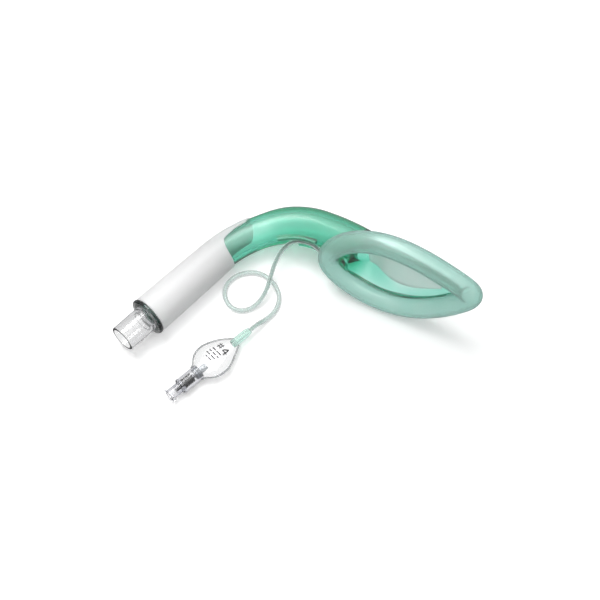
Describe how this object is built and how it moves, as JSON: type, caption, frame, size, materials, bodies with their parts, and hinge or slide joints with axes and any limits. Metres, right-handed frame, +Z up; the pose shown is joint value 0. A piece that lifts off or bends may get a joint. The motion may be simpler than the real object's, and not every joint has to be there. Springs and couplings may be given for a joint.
{
  "type": "laryngeal mask airway",
  "caption": "Curved breathing tube with an inflatable oval mask, grip sleeve, conical circuit connector and a thin inflation line with pilot balloon and check valve",
  "frame": {"origin": "on the table, under the middle of the box round the device without its inflation line, valve and balloon", "axes": "+Z up from the table, +X towards the mask along the longest extent, +Y from the viewer across the table; the device lies on its side as in the picture, on the connector's flange, the grip sleeve and the side of the cuff"},
  "size_m": [0.2002, 0.1164, 0.063],
  "materials": {
    "clear_hard": "clear hard plastic, polished",
    "sleeve_white": "white satin, slightly translucent",
    "tube_green": "translucent green, satin gloss",
    "cuff_film": "pale green film, frosted",
    "line_clear": "clear, faint green",
    "neck_tint": "pale green, clear",
    "balloon_film": "clear film",
    "plunger_black": "black moulding",
    "seal_rubber": "soft black washer",
    "seat_blue": "grey blue moulding",
    "spring_steel": "bright spring wire"
  },
  "bodies": {
    "airway": {"connector": "clear_hard", "grip_sleeve": "sleeve_white", "airway_tube": "tube_green", "cuff": "cuff_film", "inflation_line": "line_clear", "line_sleeve": "neck_tint", "pilot_balloon": "balloon_film", "valve_housing": "clear_hard", "luer_port": "clear_hard", "valve_spring_seat": "seat_blue", "valve_spring": "spring_steel"},
    "plunger": {"valve_plunger": "plunger_black", "valve_seal": "seal_rubber"}
  },
  "joints": [
    {"name": "plunger_slide", "type": "slide", "parent": "airway", "child": "plunger", "axis": [0.7296, 0.6839, 0], "range_m": [0, 0.0015], "stiffness_N_per_m": 400, "springref_m": -0.001, "deforming": ["valve_spring"]}
  ]
}
